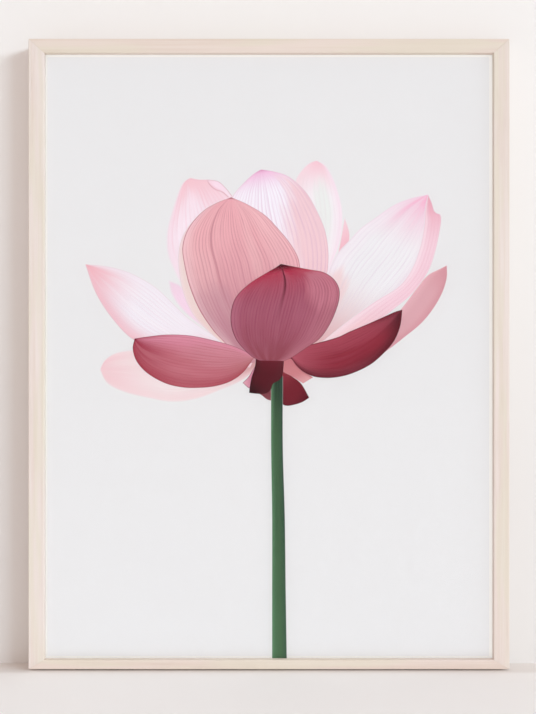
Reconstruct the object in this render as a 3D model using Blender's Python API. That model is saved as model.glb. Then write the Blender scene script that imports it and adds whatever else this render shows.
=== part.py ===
"""A framed print: a slim mitred wood frame with glazing, a printed sheet, filler card and a back panel.

Metres, +X right, +Z up, front face towards -Y. The frame stands at Z = 0 on two rubber strips under its
bottom rail. The origin is under the middle of the frame, halfway between its front face and the back of
its bumpers. The frame is built with the wood's underside at Z = 0 and then lifted onto its strips.
Blender 4.5: blender --background --python part.py
"""

import math

import bmesh
import bpy
from mathutils import Matrix, Vector

MM = 0.001

# The frame's outside, and the width of each rail as seen from the front.
OUTER_WIDTH = 480 * MM
OUTER_HEIGHT = 629 * MM
SIDE_FACE = 16 * MM
TOP_FACE = 14.5 * MM
BOTTOM_FACE = 9.5 * MM
FRAME_DEPTH = 24 * MM

# The rebate behind the front lip. It is deeper at the sides, where the sheet is hidden further.
LIP = 6 * MM
SIDE_REBATE = 5.2 * MM
END_REBATE = 2.9 * MM

# What lies in the rebate, from the front. The sheets share one cut size.
SHEET_WIDTH = 457.2 * MM
SHEET_HEIGHT = 609.6 * MM
GLAZING = 2 * MM
PAPER = 0.3 * MM
CARD = 1.5 * MM
PANEL = 3 * MM

GAP = 0.3 * MM  # between pieces that touch
MITRE_GAP = 0.1 * MM
INK_GAP = 0.6 * MM  # glazing to paper

# Eased edges of the moulding and its outer corners.
FRONT_ROUND = 1.0 * MM
SIGHT_ROUND = 1.0 * MM
BACK_ROUND = 0.6 * MM
CORNER_CUT = 1.4 * MM

# Holding tabs: flat steel points pushed into the rebate's wall.
TAB_WIDTH = 8 * MM
TAB_THICK = 0.5 * MM
TAB_IN_WOOD = 4.2 * MM
TAB_REACH = 9 * MM
TAB_LIFT = 1.6 * MM  # how far the free end is bent back, for a finger
SIDE_TAB_PLACES = (-235 * MM, -80 * MM, 80 * MM, 235 * MM)
END_TAB_PLACES = (-160 * MM, -55 * MM, 55 * MM, 160 * MM)

# V-shaped corner nails across each mitre.
NAIL_LEG = 5 * MM
NAIL_THICK = 0.6 * MM
NAIL_LENGTH = 8 * MM
NAIL_PLACE = 0.36  # share of the way from the outer corner to the sight corner

# Sawtooth hangers and their screws.
HANGER_PLACES = (-120 * MM, 120 * MM)
HANGER_LENGTH = 46 * MM
HANGER_HEIGHT = 9 * MM
HANGER_THICK = 0.8 * MM
HANGER_RAISED = 28 * MM  # length of the raised middle
HANGER_RAMP = 2.5 * MM
HANGER_STEP = 1.0 * MM
TOOTH_PITCH = 3 * MM
TOOTH_DEPTH = 1.8 * MM
SCREW_FROM_MIDDLE = 19.2 * MM
SHANK_RADIUS = 1.2 * MM
SHANK_LENGTH = 8 * MM
HEAD_RADIUS = 2.5 * MM
HEAD_HEIGHT = 1.1 * MM
RECESS_ARM = 2.6 * MM
RECESS_WIDTH = 0.6 * MM
RECESS_DEPTH = 0.7 * MM

# Rubber bumpers behind the side rails.
BUMPER_RADIUS = 4.6 * MM
BUMPER_THICK = 2.2 * MM
BUMPER_FROM_END = 26 * MM

# Rubber strips that the bottom rail stands on, set back from its front.
STRIP_THICK = 1.2 * MM
STRIP_LENGTH = 60 * MM
STRIP_PLACES = (-165 * MM, 165 * MM)
STRIP_FROM_FRONT = 5 * MM
STRIP_FROM_BACK = 2 * MM
STRIP_CORNER = 2 * MM
STAND = STRIP_THICK + GAP  # height of the wood's underside

NOTCH_RADIUS = 11 * MM  # thumb notch in the back panel's lower edge
ROUND_STEPS = 28

# Depths, from the front face back.
FRONT = -(FRAME_DEPTH + GAP + BUMPER_THICK) / 2
BACK = FRONT + FRAME_DEPTH
GLAZING_FRONT = FRONT + LIP + GAP
PAPER_FRONT = GLAZING_FRONT + GLAZING + INK_GAP
CARD_FRONT = PAPER_FRONT + PAPER + GAP
PANEL_FRONT = CARD_FRONT + CARD + GAP
PANEL_BACK = PANEL_FRONT + PANEL
TAB_FRONT = PANEL_BACK + GAP

SIGHT_WIDTH = OUTER_WIDTH - 2 * SIDE_FACE
SIGHT_LOW = BOTTOM_FACE
SIGHT_HIGH = OUTER_HEIGHT - TOP_FACE
SIGHT_MIDDLE = (SIGHT_LOW + SIGHT_HIGH) / 2

# The rebate's four walls, which the tabs go into.
WALL_RIGHT = SIGHT_WIDTH / 2 + SIDE_REBATE
WALL_TOP = SIGHT_HIGH + END_REBATE
WALL_BOTTOM = SIGHT_LOW - END_REBATE

# The middle of the top rail's leg, where the hangers are screwed on.
HANGER_UP = OUTER_HEIGHT - (TOP_FACE - END_REBATE) / 2
HANGER_BACK = BACK + GAP
SCREW_SEAT = HANGER_BACK + HANGER_THICK + GAP / 3

BACKWARD = Matrix.Rotation(-math.pi / 2, 4, "X")  # turns a shape built up +Z to face +Y


def clear_scene():
    for obj in list(bpy.data.objects):
        bpy.data.objects.remove(obj, do_unlink=True)


def finish(name, colour, roughness, metallic=0.0, alpha=1.0):
    material = bpy.data.materials.new(name)
    material.use_nodes = True
    shader = material.node_tree.nodes["Principled BSDF"]
    shader.inputs["Base Color"].default_value = (*colour, 1.0)
    shader.inputs["Roughness"].default_value = roughness
    shader.inputs["Metallic"].default_value = metallic
    shader.inputs["Alpha"].default_value = alpha
    material.diffuse_color = (*colour, alpha)
    return material


def mesh_from(bm, name):
    bmesh.ops.recalc_face_normals(bm, faces=bm.faces)
    mesh = bpy.data.meshes.new(name)
    bm.to_mesh(mesh)
    bm.free()
    return mesh


def piece(name, mesh, material, location=(0, 0, 0), turn=0.0):
    """An object of this mesh at a location, turned about Y."""
    obj = bpy.data.objects.new(name, mesh)
    obj.location = location
    obj.rotation_euler = (0, turn, 0)
    if not mesh.materials:
        mesh.materials.append(material)
    bpy.context.scene.collection.objects.link(obj)
    return obj


def cutter(name, bm):
    obj = bpy.data.objects.new(name, mesh_from(bm, name))
    obj.hide_render = True
    obj.display_type = "WIRE"
    bpy.context.scene.collection.objects.link(obj)
    return obj


def cut(obj, *cutters):
    for tool in cutters:
        boolean = obj.modifiers.new(tool.name, "BOOLEAN")
        boolean.operation = "DIFFERENCE"
        boolean.object = tool


def add_box(bm, low, high):
    """A box between two corners, added to bm."""
    low, high = Vector(low), Vector(high)
    size = Matrix.Diagonal((*(high - low), 1.0))
    bmesh.ops.create_cube(bm, size=1.0, matrix=Matrix.Translation((low + high) / 2) @ size)


def add_prism(bm, outline, extrusion, matrix=None):
    """A closed outline extruded by a vector, added to bm."""
    face = bm.faces.new([bm.verts.new(point) for point in outline])
    made = bmesh.ops.extrude_face_region(bm, geom=[face])["geom"]
    raised = [v for v in made if isinstance(v, bmesh.types.BMVert)]
    bmesh.ops.translate(bm, verts=raised, vec=extrusion)
    if matrix is not None:
        bmesh.ops.transform(bm, matrix=matrix, verts=list(face.verts) + raised)


def add_cylinder(bm, radius, low, high, matrix):
    """A cylinder about the matrix's Z, from low to high, added to bm."""
    middle = Matrix.Translation((0, 0, (low + high) / 2))
    bmesh.ops.create_cone(
        bm, cap_ends=True, segments=ROUND_STEPS, radius1=radius, radius2=radius,
        depth=high - low, matrix=matrix @ middle,
    )


def turned(name, profile):
    """A round piece from (radius, height) points that start and end on its axis, standing on +Y."""
    bm = bmesh.new()
    points = [bm.verts.new((radius, 0, height)) for radius, height in profile]
    edges = [bm.edges.new(pair) for pair in zip(points, points[1:])]
    bmesh.ops.spin(
        bm, geom=points + edges, axis=(0, 0, 1), cent=(0, 0, 0),
        angle=2 * math.pi, steps=ROUND_STEPS, use_merge=True,
    )
    bmesh.ops.remove_doubles(bm, verts=bm.verts, dist=0.001 * MM)
    bmesh.ops.transform(bm, matrix=BACKWARD, verts=bm.verts)
    mesh = mesh_from(bm, name)
    mesh.shade_smooth()
    mesh.set_sharp_from_angle(angle=math.radians(35))
    return mesh


# Frame rails

def eased(corner, before, after, radius, steps=3):
    """A quarter round in place of a square corner of the moulding's section."""
    corner, before, after = Vector(corner), Vector(before), Vector(after)
    start = corner + (before - corner).normalized() * radius
    end = corner + (after - corner).normalized() * radius
    centre = start + end - corner
    turns = [math.pi / 2 * i / steps for i in range(steps + 1)]
    return [centre + (start - centre) * math.cos(a) + (end - centre) * math.sin(a) for a in turns]


def moulding_section(face, rebate):
    """The rail's section as (inward, depth) points: a front lip, and a leg that runs to the back."""
    leg = face - rebate
    lip_back = FRONT + LIP
    outer_front, sight_front = (0, FRONT), (face, FRONT)
    sight_back, wall_front = (face, lip_back), (leg, lip_back)
    wall_back, outer_back = (leg, BACK), (0, BACK)
    return [
        *eased(outer_front, outer_back, sight_front, FRONT_ROUND),
        *eased(sight_front, outer_front, sight_back, SIGHT_ROUND),
        Vector(sight_back),
        Vector(wall_front),
        Vector(wall_back),
        *eased(outer_back, wall_back, outer_front, BACK_ROUND),
    ]


def rail(name, material, length, face, rebate, left_face, right_face, location, turn):
    """A rail along X with its outer edge at Z = 0, each end mitred to suit the rail that meets it."""
    bm = bmesh.new()
    section = moulding_section(face, rebate)
    slopes = (left_face / face, right_face / face)
    half_gaps = [MITRE_GAP / 2 * math.hypot(1, slope) for slope in slopes]
    left, right = (
        [
            bm.verts.new((side * (length / 2 - inward * slope - half_gap), depth, -inward))
            for inward, depth in section
        ]
        for side, slope, half_gap in zip((-1, 1), slopes, half_gaps)
    )
    edges = [bm.edges.new((ring[i - 1], ring[i])) for ring in (left, right) for i in range(len(ring))]
    bmesh.ops.bridge_loops(bm, edges=edges)
    bm.faces.new(left)
    bm.faces.new(right)
    for side in (-1, 1):
        tip = Vector((side * (length / 2 - CORNER_CUT), 0, 0))
        slant = Vector((side * math.sin(math.pi / 8), 0, math.cos(math.pi / 8)))
        bmesh.ops.recalc_face_normals(bm, faces=bm.faces)
        cut_edges = bmesh.ops.bisect_plane(
            bm, geom=bm.verts[:] + bm.edges[:] + bm.faces[:], dist=0.001 * MM,
            plane_co=tip, plane_no=slant, clear_outer=True,
        )["geom_cut"]
        rim = [e for e in cut_edges if isinstance(e, bmesh.types.BMEdge)]
        bmesh.ops.holes_fill(bm, edges=rim)
    return piece(name, mesh_from(bm, name), material, location, turn)


def frame_rails(wood):
    half_turn, quarter_turn = math.pi, math.pi / 2
    middle = OUTER_HEIGHT / 2
    return {
        "top": rail(
            "top_rail", wood, OUTER_WIDTH, TOP_FACE, END_REBATE, SIDE_FACE, SIDE_FACE,
            (0, 0, OUTER_HEIGHT), 0.0,
        ),
        "bottom": rail(
            "bottom_rail", wood, OUTER_WIDTH, BOTTOM_FACE, END_REBATE, SIDE_FACE, SIDE_FACE,
            (0, 0, 0), half_turn,
        ),
        "left": rail(
            "left_rail", wood, OUTER_HEIGHT, SIDE_FACE, SIDE_REBATE, BOTTOM_FACE, TOP_FACE,
            (-OUTER_WIDTH / 2, 0, middle), -quarter_turn,
        ),
        "right": rail(
            "right_rail", wood, OUTER_HEIGHT, SIDE_FACE, SIDE_REBATE, TOP_FACE, BOTTOM_FACE,
            (OUTER_WIDTH / 2, 0, middle), quarter_turn,
        ),
    }


# Sheets in the rebate

def sheet(name, material, front, thickness):
    bm = bmesh.new()
    half = SHEET_WIDTH / 2
    low, high = SIGHT_MIDDLE - SHEET_HEIGHT / 2, SIGHT_MIDDLE + SHEET_HEIGHT / 2
    add_box(bm, (-half, front, low), (half, front + thickness, high))
    return piece(name, mesh_from(bm, name), material)


def thumb_notch():
    bm = bmesh.new()
    low_edge = Vector((0, PANEL_FRONT, SIGHT_MIDDLE - SHEET_HEIGHT / 2))
    add_cylinder(bm, NOTCH_RADIUS, -PANEL, 2 * PANEL, Matrix.Translation(low_edge) @ BACKWARD)
    return cutter("thumb_notch", bm)


# Holding tabs

def tab_mesh():
    """A strip along -Z that starts in the wood above Z = 0, with its free end bent back."""
    bm = bmesh.new()
    flat_end = -0.7 * TAB_REACH
    outline = [
        (0, 0, TAB_IN_WOOD),
        (0, 0, flat_end),
        (0, TAB_LIFT, -TAB_REACH),
        (0, TAB_LIFT + TAB_THICK, -TAB_REACH),
        (0, TAB_THICK, flat_end),
        (0, TAB_THICK, TAB_IN_WOOD),
    ]
    centred = Matrix.Translation((-TAB_WIDTH / 2, 0, 0))
    add_prism(bm, outline, (TAB_WIDTH, 0, 0), centred)
    corners = [e for e in bm.edges if e.verts[0].co.xz == e.verts[1].co.xz]
    bmesh.ops.bevel(
        bm, geom=corners, offset=1.5 * MM, offset_type="OFFSET", segments=2, profile=0.5,
        affect="EDGES", material=-1,
    )
    return mesh_from(bm, "holding_tab")


def tab_places():
    """(name, location on the rebate's wall, turn about Y) of each tab."""
    for i, across in enumerate(END_TAB_PLACES, 1):
        yield f"tab_top_{i}", (across, TAB_FRONT, WALL_TOP), 0.0
        yield f"tab_bottom_{i}", (across, TAB_FRONT, WALL_BOTTOM), math.pi
    for i, up in enumerate(SIDE_TAB_PLACES, 1):
        height = SIGHT_MIDDLE + up
        yield f"tab_left_{i}", (-WALL_RIGHT, TAB_FRONT, height), -math.pi / 2
        yield f"tab_right_{i}", (WALL_RIGHT, TAB_FRONT, height), math.pi / 2


def holding_tabs(steel):
    mesh = tab_mesh()
    for name, location, turn in tab_places():
        piece(name, mesh, steel, location, turn)


def tab_slots():
    """One cutter with a slot for every tab."""
    bm = bmesh.new()
    half, clear = TAB_WIDTH / 2, GAP / 2
    for _, location, turn in tab_places():
        already = set(bm.verts)
        add_box(bm, (-half - clear, -clear, -MM), (half + clear, TAB_THICK + clear, TAB_IN_WOOD + GAP))
        place = Matrix.Translation(location) @ Matrix.Rotation(turn, 4, "Y")
        bmesh.ops.transform(bm, matrix=place, verts=[v for v in bm.verts if v not in already])
    return cutter("tab_slots", bm)


# Corner nails

def corner_places():
    """(name, spine place on the mitre as X and Z, leg direction in X, leg direction in Z)."""
    for up_name, up in (("top", 1), ("bottom", -1)):
        face = TOP_FACE if up > 0 else BOTTOM_FACE
        outer_z = OUTER_HEIGHT if up > 0 else 0.0
        for side_name, side in (("left", -1), ("right", 1)):
            x = side * (OUTER_WIDTH / 2 - NAIL_PLACE * SIDE_FACE)
            z = outer_z - up * NAIL_PLACE * face
            yield f"corner_nail_{up_name}_{side_name}", x, z, -side, -up


def add_nail(bm, x, z, toward_x, toward_z, spare, front, back):
    """Two legs at a right angle that meet on the mitre, each grown by spare all round."""
    out, thick, leg = -spare, NAIL_THICK + spare, NAIL_LEG + spare
    corners = ((out, out), (leg, out), (leg, thick), (thick, thick), (thick, leg), (out, leg))
    shift = NAIL_THICK / 2
    outline = [
        (x + toward_x * (a - shift), front, z + toward_z * (b - shift)) for a, b in corners
    ]
    add_prism(bm, outline, (0, back - front, 0))


def corner_nails(steel):
    for name, *place in corner_places():
        bm = bmesh.new()
        add_nail(bm, *place, 0.0, BACK - GAP - NAIL_LENGTH, BACK - GAP)
        piece(name, mesh_from(bm, name), steel)


def nail_slots():
    bm = bmesh.new()
    for _, *place in corner_places():
        add_nail(bm, *place, GAP / 2, BACK - 2 * GAP - NAIL_LENGTH, BACK + MM)
    return cutter("nail_slots", bm)


# Hangers

def screw_places():
    """(name, location under the head) of each hanger screw."""
    for side, middle in zip(("left", "right"), HANGER_PLACES):
        for end, off in (("outer", math.copysign(1, middle)), ("inner", -math.copysign(1, middle))):
            x = middle + off * SCREW_FROM_MIDDLE
            yield f"hanger_screw_{side}_{end}", Vector((x, SCREW_SEAT, HANGER_UP))


def hanger_mesh():
    """A plate with flat ends and a raised middle, seen along Z as a low hat."""
    half, raised, ramp = HANGER_LENGTH / 2, HANGER_RAISED / 2, HANGER_RAMP
    under = [
        (-half, 0), (-raised - ramp, 0), (-raised, HANGER_STEP),
        (raised, HANGER_STEP), (raised + ramp, 0), (half, 0),
    ]
    outline = [(x, y, 0) for x, y in under] + [(x, y + HANGER_THICK, 0) for x, y in reversed(under)]
    bm = bmesh.new()
    add_prism(bm, outline, (0, 0, HANGER_HEIGHT), Matrix.Translation((0, 0, -HANGER_HEIGHT / 2)))
    return mesh_from(bm, "sawtooth_hanger")


def hanger_teeth():
    """Cuts V notches into the lower edge of each hanger's raised middle."""
    bm = bmesh.new()
    count = int(HANGER_RAISED / TOOTH_PITCH)
    low = HANGER_UP - HANGER_HEIGHT / 2
    half = 0.46 * TOOTH_PITCH
    below = low - 0.1 * MM
    for middle in HANGER_PLACES:
        for i in range(count):
            x = middle + (i - (count - 1) / 2) * TOOTH_PITCH
            outline = [(x - half, BACK, below), (x + half, BACK, below), (x, BACK, low + TOOTH_DEPTH)]
            add_prism(bm, outline, (0, 5 * HANGER_THICK, 0))
    return cutter("hanger_teeth", bm)


def screw_holes():
    bm = bmesh.new()
    for _, place in screw_places():
        radius = SHANK_RADIUS + GAP
        add_cylinder(bm, radius, -SHANK_LENGTH - GAP, 2 * MM, Matrix.Translation(place) @ BACKWARD)
    return cutter("screw_holes", bm)


def screw_recesses():
    """Cross recesses in the screw heads."""
    bm = bmesh.new()
    arm, half = RECESS_ARM / 2, RECESS_WIDTH / 2
    outline = [
        (-arm, -half), (-half, -half), (-half, -arm), (half, -arm), (half, -half), (arm, -half),
        (arm, half), (half, half), (half, arm), (-half, arm), (-half, half), (-arm, half),
    ]
    for _, place in screw_places():
        floor = place.y + HEAD_HEIGHT - RECESS_DEPTH
        points = [(place.x + a, floor, place.z + b) for a, b in outline]
        add_prism(bm, points, (0, 2 * RECESS_DEPTH, 0))
    return cutter("screw_recesses", bm)


def hangers(steel, holes):
    plate = hanger_mesh()
    teeth = hanger_teeth()
    for side, middle in zip(("left", "right"), HANGER_PLACES):
        obj = piece(f"hanger_{side}", plate, steel, (middle, HANGER_BACK, HANGER_UP))
        cut(obj, teeth, holes)


def hanger_screws(steel):
    shoulder = 0.45 * HEAD_HEIGHT
    profile = [
        (0, -SHANK_LENGTH),
        (0.35 * SHANK_RADIUS, -0.97 * SHANK_LENGTH),
        (SHANK_RADIUS, -0.75 * SHANK_LENGTH),
        (SHANK_RADIUS, 0),
        (HEAD_RADIUS, 0),
        (HEAD_RADIUS, shoulder),
        (0.86 * HEAD_RADIUS, 0.85 * HEAD_HEIGHT),
        (0.6 * HEAD_RADIUS, HEAD_HEIGHT),
        (0, HEAD_HEIGHT),
    ]
    mesh = turned("hanger_screw", profile)
    recesses = screw_recesses()
    for name, place in screw_places():
        cut(piece(name, mesh, steel, place), recesses)


# Bumpers

def bumpers(rubber):
    radius, thick = BUMPER_RADIUS, BUMPER_THICK
    profile = [(0, 0), (radius, 0), (radius, 0.5 * thick), (0.88 * radius, 0.86 * thick),
               (0.7 * radius, thick), (0, thick)]
    mesh = turned("bumper", profile)
    across = OUTER_WIDTH / 2 - (SIDE_FACE - SIDE_REBATE) / 2
    for up_name, height in (("top", OUTER_HEIGHT - BUMPER_FROM_END), ("bottom", BUMPER_FROM_END)):
        for side_name, side in (("left", -1), ("right", 1)):
            place = (side * across, BACK + GAP, height)
            piece(f"bumper_{up_name}_{side_name}", mesh, rubber, place)


# Foot strips

def foot_strips(rubber):
    bm = bmesh.new()
    half = STRIP_LENGTH / 2
    add_box(bm, (-half, FRONT + STRIP_FROM_FRONT, 0), (half, BACK - STRIP_FROM_BACK, STRIP_THICK))
    corners = [e for e in bm.edges if e.verts[0].co.xy == e.verts[1].co.xy]
    bmesh.ops.bevel(
        bm, geom=corners, offset=STRIP_CORNER, offset_type="OFFSET", segments=3, profile=0.5,
        affect="EDGES", material=-1,
    )
    mesh = mesh_from(bm, "foot_strip")
    for side, across in zip(("left", "right"), STRIP_PLACES):
        piece(f"foot_strip_{side}", mesh, rubber, (across, 0, 0))


def lift_everything(height):
    for obj in bpy.data.objects:
        obj.location.z += height


def main():
    clear_scene()
    wood = finish("pale_oak", (0.80, 0.70, 0.60), 0.6)
    steel = finish("zinc_steel", (0.62, 0.62, 0.62), 0.35, metallic=1.0)
    rails = frame_rails(wood)
    sheet("glazing", finish("clear_sheet", (0.95, 0.97, 0.97), 0.05, alpha=0.15), GLAZING_FRONT, GLAZING)
    sheet("print_sheet", finish("print_paper", (0.83, 0.83, 0.83), 0.9), PAPER_FRONT, PAPER)
    sheet("backing_card", finish("grey_card", (0.55, 0.54, 0.51), 0.9), CARD_FRONT, CARD)
    panel = sheet("back_panel", finish("hardboard", (0.36, 0.22, 0.12), 0.8), PANEL_FRONT, PANEL)
    cut(panel, thumb_notch())
    holding_tabs(steel)
    corner_nails(steel)
    holes = screw_holes()
    hangers(steel, holes)
    hanger_screws(steel)
    rubber = finish("bumper_rubber", (0.03, 0.03, 0.03), 0.8)
    bumpers(rubber)
    slots, nails = tab_slots(), nail_slots()
    for obj in rails.values():
        cut(obj, slots, nails)
    cut(rails["top"], holes)
    lift_everything(STAND)
    foot_strips(rubber)


main()
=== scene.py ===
import math

import bmesh
import bpy
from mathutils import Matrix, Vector
from mathutils.geometry import interpolate_bezier


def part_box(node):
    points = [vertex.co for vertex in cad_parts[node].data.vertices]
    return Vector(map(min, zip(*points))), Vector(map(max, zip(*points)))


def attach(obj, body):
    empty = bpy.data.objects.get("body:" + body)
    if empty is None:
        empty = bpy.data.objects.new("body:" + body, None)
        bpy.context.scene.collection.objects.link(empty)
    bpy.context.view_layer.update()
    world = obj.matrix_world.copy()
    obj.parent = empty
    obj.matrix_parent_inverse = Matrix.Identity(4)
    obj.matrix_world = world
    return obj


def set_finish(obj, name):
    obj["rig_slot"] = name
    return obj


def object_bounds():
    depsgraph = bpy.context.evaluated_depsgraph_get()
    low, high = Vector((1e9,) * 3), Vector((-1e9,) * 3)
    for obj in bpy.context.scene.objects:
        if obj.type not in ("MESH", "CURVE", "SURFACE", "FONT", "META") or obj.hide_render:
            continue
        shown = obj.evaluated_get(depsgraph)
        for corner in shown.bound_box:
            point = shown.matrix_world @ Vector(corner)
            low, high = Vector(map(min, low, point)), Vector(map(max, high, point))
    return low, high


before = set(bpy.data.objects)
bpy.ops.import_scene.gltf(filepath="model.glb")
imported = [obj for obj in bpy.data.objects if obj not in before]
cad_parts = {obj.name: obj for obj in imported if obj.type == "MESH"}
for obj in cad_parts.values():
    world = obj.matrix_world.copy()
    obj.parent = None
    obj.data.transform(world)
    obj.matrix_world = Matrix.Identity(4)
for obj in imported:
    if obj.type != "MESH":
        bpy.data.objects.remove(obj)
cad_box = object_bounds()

MM = 0.001
BODY = "root"

# The printed picture: millimetres across and up from the heart of the flower, on the sheet's face.
SHEET_LOW, SHEET_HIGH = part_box("print_sheet")
FRAME_LOW, FRAME_HIGH = cad_box
WOOD_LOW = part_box("bottom_rail")[0]
FLOWER_HEART = Vector((1.0 * MM, 0.0, WOOD_LOW.z + 311.0 * MM))
INK_FILM = 0.008 * MM
INK_STEP = 0.016 * MM
ACROSS = 28  # cells in a printed shape, side to side
ALONG = 56  # and from heart to tip
CURVE_STEPS = 25  # between two points of an outline
SAME_PLACE = 0.0005 * MM
SEED_STEP = 1.37  # sets each layer's noise apart

# Colours are given as they look on a screen, from 0 to 255.
GROUND = (235, 235, 237)
BARE_PAPER = (245, 243, 240)

# The printed ground stops just short of the rails: left, right, bottom, top.
PRINT_EDGES = (-223.2 * MM, 221.6 * MM, WOOD_LOW.z + 10.6 * MM, WOOD_LOW.z + 613.2 * MM)


def tone(red, green, blue):
    """A colour as it looks on a screen, in the numbers that a shader takes."""
    def straight(value):
        value /= 255
        return value / 12.92 if value <= 0.04045 else ((value + 0.055) / 1.055) ** 2.4
    return (straight(red), straight(green), straight(blue), 1.0)


# ---------------------------------------------------------------- nodes

class Wiring:
    """Makes the nodes of one material or group, and joins them."""

    def __init__(self, tree):
        self.tree = tree

    def feed(self, socket, value):
        if isinstance(value, bpy.types.NodeSocket):
            self.tree.links.new(value, socket)
        else:
            socket.default_value = value

    def node(self, kind, inputs=None, **settings):
        made = self.tree.nodes.new("ShaderNode" + kind)
        for name, value in settings.items():
            setattr(made, name, value)
        for name, value in (inputs or {}).items():
            self.feed(made.inputs[name], value)
        return made

    def math(self, operation, *values, clamp=False):
        made = self.node("Math", operation=operation, use_clamp=clamp)
        for socket, value in zip(made.inputs, values):
            self.feed(socket, value)
        return made.outputs[0]

    def ease(self, value, low, high):
        """0 below low, 1 above high, and smooth between them."""
        made = self.node("MapRange", {"Value": value, "From Min": low, "From Max": high},
                         interpolation_type="SMOOTHSTEP")
        return made.outputs["Result"]

    def blend(self, share, under, over):
        made = self.node("Mix", data_type="RGBA", clamp_factor=True)
        self.feed(made.inputs[0], share)
        self.feed(made.inputs[6], under)
        self.feed(made.inputs[7], over)
        return made.outputs[2]

    def noise(self, vector, scale, detail=3.0, roughness=0.5):
        made = self.node("TexNoise", {"Vector": vector, "Scale": scale, "Detail": detail,
                                      "Roughness": roughness})
        return made.outputs["Fac"]

    def stretch(self, vector, scale, move=(0.0, 0.0, 0.0), turn=(0.0, 0.0, 0.0)):
        made = self.node("Mapping", {"Vector": vector, "Location": move, "Rotation": turn,
                                     "Scale": scale})
        return made.outputs["Vector"]

    def around_middle(self, value, strength):
        """Turns 0..1 into a factor that swings round 1 by strength."""
        swing = self.math("SUBTRACT", value, 0.5)
        return self.math("MULTIPLY_ADD", swing, strength, 1.0)

    def times(self, colour, factor):
        made = self.node("VectorMath", operation="SCALE")
        self.feed(made.inputs["Vector"], colour)
        self.feed(made.inputs["Scale"], factor)
        return made.outputs["Vector"]

    def use(self, group, values):
        made = self.tree.nodes.new("ShaderNodeGroup")
        made.node_tree = group
        for name, value in values.items():
            self.feed(made.inputs[name], value)
        return made.outputs


def shader_group(name, inputs, outputs):
    """An empty node group with those sockets: {name: starting value} in, {name: kind} out."""
    tree = bpy.data.node_groups.new(name, "ShaderNodeTree")
    for label, value in inputs.items():
        if isinstance(value, tuple):
            kind = "NodeSocketColor" if len(value) == 4 else "NodeSocketVector"
        else:
            kind = "NodeSocketFloat"
        socket = tree.interface.new_socket(label, in_out="INPUT", socket_type=kind)
        socket.default_value = value
    for label, kind in outputs.items():
        tree.interface.new_socket(label, in_out="OUTPUT", socket_type="NodeSocket" + kind)
    wires = Wiring(tree)
    given = tree.nodes.new("NodeGroupInput").outputs
    result = tree.nodes.new("NodeGroupOutput").inputs
    return tree, wires, given, result


def paper_tooth_group():
    """The fine tooth of uncoated paper and card: a faint mottle, and a height for the bump."""
    tree, w, given, result = shader_group(
        "Paper Tooth",
        {"Vector": (0.0, 0.0, 0.0), "Color": tone(235, 235, 235), "Mottle": 0.01,
         "Fibre Size": 0.5},
        {"Color": "Color", "Height": "Float", "Roughness": "Float"})
    scale = w.math("DIVIDE", 1000.0, given["Fibre Size"])
    fine = w.noise(given["Vector"], scale, detail=4.0, roughness=0.6)
    cloudy = w.noise(given["Vector"], 22.0, detail=3.0, roughness=0.55)
    both = w.math("MULTIPLY_ADD", fine, 0.6, w.math("MULTIPLY", cloudy, 0.4))
    w.feed(result["Color"], w.times(given["Color"], w.around_middle(both, given["Mottle"])))
    w.feed(result["Height"], fine)
    w.feed(result["Roughness"], w.math("MULTIPLY_ADD", fine, 0.12, 0.62))
    return tree


def lengthwise_grain_group():
    """Whitewashed grain that runs along X: wide soft streaks, narrow pores and a slow drift."""
    tree, w, given, result = shader_group(
        "Lengthwise Grain",
        {"Vector": (0.0, 0.0, 0.0), "Pale": tone(241, 228, 222), "Streak": tone(228, 208, 195),
         "Pore": tone(200, 178, 156), "Yellow": tone(232, 224, 204), "Streak Share": 0.5,
         "Pore Share": 0.22, "Yellow Share": 0.5, "Streak Width": 4.0},
        {"Color": "Color", "Height": "Float", "Roughness": "Float"})
    across = w.math("DIVIDE", 1000.0, given["Streak Width"])
    size = w.node("CombineXYZ", {"X": w.math("MULTIPLY", across, 0.02), "Y": across, "Z": across})
    place = w.node("VectorMath", operation="MULTIPLY")
    w.feed(place.inputs[0], given["Vector"])
    w.feed(place.inputs[1], size.outputs[0])
    streaks = w.noise(place.outputs[0], 1.0, detail=5.0, roughness=0.62)
    pores = w.noise(w.stretch(given["Vector"], (26.0, 1500.0, 1500.0)), 1.0, 2.0, 0.5)
    drift = w.noise(w.stretch(given["Vector"], (4.0, 60.0, 60.0)), 1.0, 2.0, 0.5)
    wide = w.ease(w.math("MULTIPLY_ADD", drift, 0.55, w.math("MULTIPLY", streaks, 0.75)),
                  0.50, 0.80)
    colour = w.blend(w.math("MULTIPLY", wide, given["Streak Share"]), given["Pale"],
                     given["Streak"])
    slow = w.noise(w.stretch(given["Vector"], (7.0, 75.0, 75.0), (3.1, 0.4, 0.7)), 1.0, 2.0, 0.5)
    yellowed = w.math("MULTIPLY", w.ease(slow, 0.42, 0.62), given["Yellow Share"])
    colour = w.blend(yellowed, colour, given["Yellow"])
    open_pore = w.math("MULTIPLY", w.ease(pores, 0.58, 0.74), w.ease(drift, 0.35, 0.65))
    colour = w.blend(w.math("MULTIPLY", open_pore, given["Pore Share"]), colour, given["Pore"])
    w.feed(result["Color"], colour)
    w.feed(result["Height"], w.math("SUBTRACT", streaks, w.math("MULTIPLY", open_pore, 0.8)))
    w.feed(result["Roughness"], w.math("MULTIPLY_ADD", wide, 0.10, 0.52))
    return tree


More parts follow.
